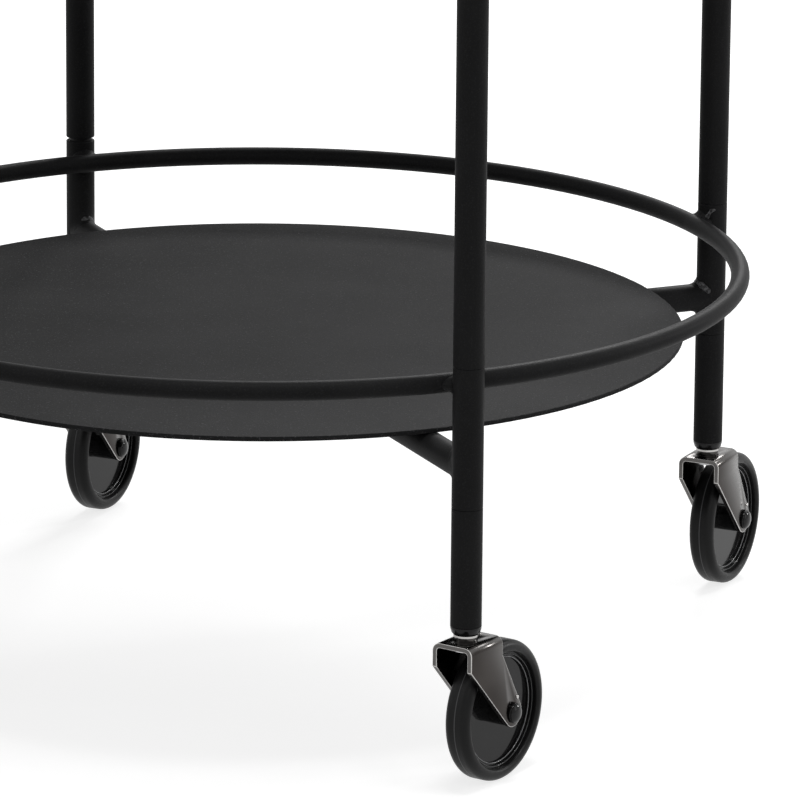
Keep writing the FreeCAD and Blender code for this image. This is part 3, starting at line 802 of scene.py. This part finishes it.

# %% [markdown]
# ## Rounded edges on the forks
#
# The edges of the real sheet are round, and each shines as a thin line along both sides of the cut.
# The CAD edges are sharp, and a sharp edge has no highlight, so a copy of each fork stands for the CAD one.
# Its triangles are merged into whole faces, and the Bevel modifier rounds every sharp edge and gives the new
# faces the pale edge finish, which adds a painted highlight to the light that the rounding catches.

# %% Rounded forks
EDGE_ROUND = 0.35 * MM
EDGE_STEPS = 2
SAME_SPOT = 0.005 * MM
FLAT = math.radians(0.5)
SHARP = math.radians(40)
SMOOTH = math.radians(35)
HIGHLIGHT_SLOT = 1
rounded_forks = {}
for leg in LEGS:
    fork = bpy.data.objects.new(f"rounded_fork_{leg}", nodes[f"caster_fork_{leg}"].data.copy())
    bpy.context.scene.collection.objects.link(fork)
    bpy.ops.object.select_all(action="DESELECT")
    fork.select_set(True)
    bpy.context.view_layer.objects.active = fork
    bpy.ops.mesh.customdata_custom_splitnormals_clear()
    bpy.ops.object.mode_set(mode="EDIT")
    bpy.ops.mesh.select_all(action="SELECT")
    bpy.ops.mesh.remove_doubles(threshold=SAME_SPOT)
    bpy.ops.mesh.dissolve_limited(angle_limit=FLAT)
    bpy.ops.mesh.normals_make_consistent(inside=False)
    bpy.ops.object.mode_set(mode="OBJECT")
    fork.data.materials.append(edge_highlight_finish)
    rounding = fork.modifiers.new("rounding", "BEVEL")
    rounding.width = EDGE_ROUND
    rounding.segments = EDGE_STEPS
    rounding.limit_method = "ANGLE"
    rounding.angle_limit = SHARP
    rounding.use_clamp_overlap = False
    # The rounded faces get the pale finish, a painted highlight
    rounding.material = HIGHLIGHT_SLOT
    bpy.ops.object.modifier_apply(modifier=rounding.name)
    bpy.ops.object.shade_smooth_by_angle(angle=SMOOTH)
    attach(fork, f"caster_{leg}")
    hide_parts(f"caster_fork_{leg}")
    rounded_forks[leg] = fork
print("Rounded", len(rounded_forks), "forks of", len(fork.data.polygons), "faces")

# %% [markdown]
# ## Press marks on the forks
#
# Each fork is bent from sheet, and has a small raised mark on top, behind the stem, and one on each side
# above the axle. They are only two millimetres wide, but they catch the light, and a pale finish paints a
# highlight on them. One mark is modelled as a short cylinder whose rim is bevelled into a dome. A ray cast
# onto the fork finds where each copy sits and which way it faces.

# %% Press marks
MARK_RADIUS = 1.0 * MM
MARK_HEIGHT = 0.5 * MM
MARK_POINTS = 16
MARK_ROUND = 0.8 * MARK_HEIGHT
MARK_ROUND_STEPS = 4
FACING_UP = 0.9
TOP_MARK_BEHIND_STEM = 13.0 * MM
SIDE_MARK_BEHIND_AXLE = 3.2 * MM
SIDE_MARK_ABOVE_AXLE = 7.8 * MM
RAY_START = 80 * MM
up = Vector((0, 0, 1))
bpy.ops.object.select_all(action="DESELECT")
bpy.ops.mesh.primitive_cylinder_add(vertices=MARK_POINTS, radius=MARK_RADIUS, depth=2 * MARK_HEIGHT)
mark = bpy.context.object
bpy.ops.object.mode_set(mode="EDIT")
bpy.ops.mesh.select_mode(type="FACE")
bpy.ops.mesh.select_all(action="DESELECT")
bpy.ops.object.mode_set(mode="OBJECT")
for face in mark.data.polygons:
    face.select = face.normal.z > FACING_UP
bpy.ops.object.mode_set(mode="EDIT")
bpy.ops.mesh.bevel(offset=MARK_ROUND, segments=MARK_ROUND_STEPS)
bpy.ops.object.mode_set(mode="OBJECT")
bpy.ops.object.shade_smooth()


def place_copy(model, spot, outwards):
    """Copies a small piece to a spot, with its top facing outwards."""
    bpy.ops.object.select_all(action="DESELECT")
    model.select_set(True)
    bpy.context.view_layer.objects.active = model
    bpy.ops.object.duplicate()
    copy = bpy.context.object
    copy.matrix_world = Matrix.Translation(spot) @ outwards.to_track_quat("Z", "Y").to_matrix().to_4x4()
    bpy.ops.object.transform_apply(location=True, rotation=True, scale=True)
    return copy


def join_copies(name, copies):
    """Joins copies into one piece."""
    for copy in copies:
        copy.select_set(True)
    bpy.ops.object.join()
    piece = bpy.context.object
    piece.name = name
    return piece


for leg in LEGS:
    foot = Vector(joints[f"swivel_{leg}"]["pos_m"])
    axle = Vector(joints[f"roll_{leg}"]["pos_m"])
    across = Vector(joints[f"roll_{leg}"]["axis"])
    trail = Vector((axle.x - foot.x, axle.y - foot.y, 0)).normalized()
    side_mark = axle + trail * SIDE_MARK_BEHIND_AXLE + up * SIDE_MARK_ABOVE_AXLE
    casts = (
        (foot + trail * TOP_MARK_BEHIND_STEM + up * RAY_START, -up),
        (side_mark + across * RAY_START, -across),
        (side_mark - across * RAY_START, across),
    )
    marks = []
    for start, way in casts:
        _, spot, outwards, _ = rounded_forks[leg].ray_cast(start, way)
        marks.append(place_copy(mark, spot, outwards))
    press_marks = join_copies(f"press_marks_{leg}", marks)
    # The marks get the pale edge finish, a painted highlight
    press_marks.data.materials.append(edge_highlight_finish)
    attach(press_marks, f"caster_{leg}")
bpy.data.objects.remove(mark)
print("Press marks on", len(LEGS), "forks")

# %% [markdown]
# ## Shining lips on the hubs
#
# Each hub has two small steps inside its rim, and their moulded edges are slightly rounded, so they shine as
# thin rings. The CAD edges are sharp, and a sharp edge has no highlight. A fine bead along each edge gives
# it one, and its lighter finish is a painted highlight. The bead's section is a small circle, which is turned
# round the axle with the Spin tool.

# %% Helper that spins a fine rim
SECTION_POINTS = 10
SPIN_STEPS = 96


def spin_rim(leg, reach, aside, radius, finish):
    """Spins a small circle round a wheel's axle, at a reach from it and on one side of the wheel's middle."""
    axle = Vector(joints[f"roll_{leg}"]["pos_m"])
    across = Vector(joints[f"roll_{leg}"]["axis"])
    section_turn = across.cross(up).to_track_quat("Z", "Y").to_euler()
    edge = axle + up * reach + across * aside
    bpy.ops.object.select_all(action="DESELECT")
    bpy.ops.mesh.primitive_circle_add(
        vertices=SECTION_POINTS, radius=radius, location=edge, rotation=section_turn,
    )
    bpy.ops.object.transform_apply(location=True, rotation=True, scale=True)
    bpy.ops.object.mode_set(mode="EDIT")
    bpy.ops.mesh.select_all(action="SELECT")
    bpy.ops.mesh.spin(steps=SPIN_STEPS, angle=2 * math.pi, center=axle, axis=across)
    bpy.ops.mesh.select_all(action="SELECT")
    bpy.ops.mesh.remove_doubles(threshold=SAME_SPOT)
    bpy.ops.mesh.normals_make_consistent(inside=False)
    bpy.ops.object.mode_set(mode="OBJECT")
    rim = bpy.context.object
    rim.data.materials.append(finish)
    return rim


print("Rims of", SECTION_POINTS, "points, spun in", SPIN_STEPS, "steps")

# %% Hub lips
LIP_RADIUS = 0.3 * MM
HUB_EDGES = (
    # millimetres from the axle, and from the middle of the wheel to each side, with the edge's painted
    # highlight finish
    (27.73, 2.7, inner_lip_highlight),
    (29.23, 3.9, outer_lip_highlight),
)
for leg in LEGS:
    lips = [
        spin_rim(leg, reach * MM, side * aside * MM, LIP_RADIUS, finish)
        for reach, aside, finish in HUB_EDGES for side in (-1, 1)
    ]
    hub_lips = join_copies(f"hub_lips_{leg}", lips)
    bpy.ops.object.shade_smooth()
    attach(hub_lips, f"wheel_{leg}")
print("Lips on", len(LEGS), "hubs")

# %% [markdown]
# ## Domes on the rivets
#
# A rivet's head is read here as a low dome, which gathers a lamp into one small glint near its upper edge.
# The CAD head is flat, with a rounded rim and a small hollow, so a dome covers it. It starts as a sphere,
# which is cut in half with Bisect and flattened, and each copy is turned to face along the axle.

# %% Rivet domes
DOME_RADIUS = 5.25 * MM
DOME_RISE = 2.7 * MM
DOME_SINK = 1.5 * MM
DOME_SEGMENTS = 48
DOME_RINGS = 24
dome_gloss, tree, shader, place = new_finish("gloss_rivet_dome", specular=0.2)
cloud = noise(tree, place, 260)
tree.links.new(shade(tree, cloud, (0.3, grey(0.004)), (0.7, grey(0.007))), shader.inputs["Base Color"])
tree.links.new(spread(tree, cloud, 0.06, 0.10), shader.inputs["Roughness"])
bpy.ops.object.select_all(action="DESELECT")
bpy.ops.mesh.primitive_uv_sphere_add(segments=DOME_SEGMENTS, ring_count=DOME_RINGS, radius=DOME_RADIUS)
dome = bpy.context.object
bpy.ops.object.mode_set(mode="EDIT")
bpy.ops.mesh.select_all(action="SELECT")
bpy.ops.mesh.bisect(plane_co=(0, 0, 0), plane_no=(0, 0, 1), clear_inner=True, use_fill=True)
bpy.ops.mesh.select_all(action="SELECT")
bpy.ops.transform.resize(value=(1, 1, DOME_RISE / DOME_RADIUS), center_override=(0, 0, 0))
bpy.ops.mesh.normals_make_consistent(inside=False)
bpy.ops.object.mode_set(mode="OBJECT")
bpy.ops.object.shade_smooth_by_angle(angle=SMOOTH)

for leg in LEGS:
    axle = Vector(joints[f"roll_{leg}"]["pos_m"])
    across = Vector(joints[f"roll_{leg}"]["axis"])
    head_face = max((point.co - axle).dot(across) for point in nodes[f"wheel_axle_{leg}"].data.vertices)
    domes = []
    for outwards in (across, -across):
        seat = axle + outwards * (head_face - DOME_SINK)
        domes.append(place_copy(dome, seat, outwards))
    piece = join_copies(f"rivet_domes_{leg}", domes)
    piece.data.materials.append(dome_gloss)
    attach(piece, f"caster_{leg}")
bpy.data.objects.remove(dome)
print("Domes on", len(LEGS), "rivets")
